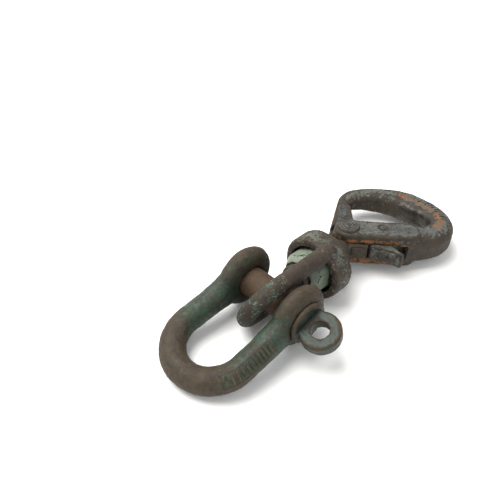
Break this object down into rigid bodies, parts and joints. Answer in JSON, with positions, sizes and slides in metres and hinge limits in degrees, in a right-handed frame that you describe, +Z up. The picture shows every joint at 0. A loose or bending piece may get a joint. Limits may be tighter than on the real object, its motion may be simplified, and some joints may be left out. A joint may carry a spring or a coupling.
{
  "type": "bow shackle with swivel safety hook",
  "caption": "Screw pin bow shackle joined through a swivelling forged bail to a self-locking swivel safety hook with thumb trigger, worn galvanised and painted steel",
  "frame": {"origin": "under the middle of the assembly's bounding box, on the surface it lies on", "axes": "+X from the shackle to the hook along the load line, +Y to its left, +Z up"},
  "size_m": [0.2992, 0.1156, 0.0592],
  "materials": {
    "shackle_paint": "worn dark green paint over brown rusted forged steel",
    "pin_steel": "orange-brown rusted steel with traces of green paint",
    "bail_steel": "dark worn forged steel with chipped pale grey-green paint",
    "bush_bronze": "dull bronze bearing bush",
    "washer_steel": "dark rusted steel",
    "nut_steel": "chipped pale grey-green paint on steel",
    "spring_steel": "dark spring steel",
    "hook_paint": "grey paint chipped to orange primer and dark steel",
    "rivet_steel": "worn turned steel",
    "trigger_steel": "dark worn cast steel"
  },
  "bodies": {
    "bow": {"shackle_bow": "shackle_paint"},
    "pin": {"shackle_pin": "pin_steel"},
    "bail": {"swivel_bail": "bail_steel", "swivel_bush": "bush_bronze"},
    "swivel": {"swivel_body": "hook_paint", "swivel_nut": "nut_steel", "nut_roll_pin": "spring_steel", "thrust_washer": "washer_steel"},
    "hook": {"hook_body": "hook_paint", "pivot_rivet": "rivet_steel", "trigger_pin": "rivet_steel"},
    "trigger": {"trigger": "trigger_steel", "trigger_spring": "spring_steel"}
  },
  "joints": [
    {"name": "pin_withdraw", "type": "slide", "parent": "bow", "child": "pin", "axis": [-0.0262, -0.9997, 0], "range_m": [0, 0.085]},
    {"name": "bail_swing", "type": "hinge", "parent": "bow", "child": "bail", "pos_m": [-0.04921, 0.0116, 0.02818], "axis": [0.0262, 0.9997, 0], "range_deg": [-100, 75]},
    {"name": "hook_swivel", "type": "hinge", "parent": "bail", "child": "swivel", "pos_m": [0.00832, 0.0076, 0.02882], "axis": [0.9962, 0, -0.0872], "continuous": true},
    {"name": "hook_open", "type": "hinge", "parent": "swivel", "child": "hook", "pos_m": [0.04777, 0.0135, 0.02537], "axis": [-0.0872, 0, -0.9962], "range_deg": [0, 32]},
    {"name": "trigger_press", "type": "hinge", "parent": "hook", "child": "trigger", "pos_m": [0.06996, -0.00736, 0.02343], "axis": [0.0872, 0, 0.9962], "range_deg": [0, 24]}
  ],
  "couplings": [
    {"joint": "trigger_press", "follows": "hook_open", "ratio": 0.75}
  ]
}
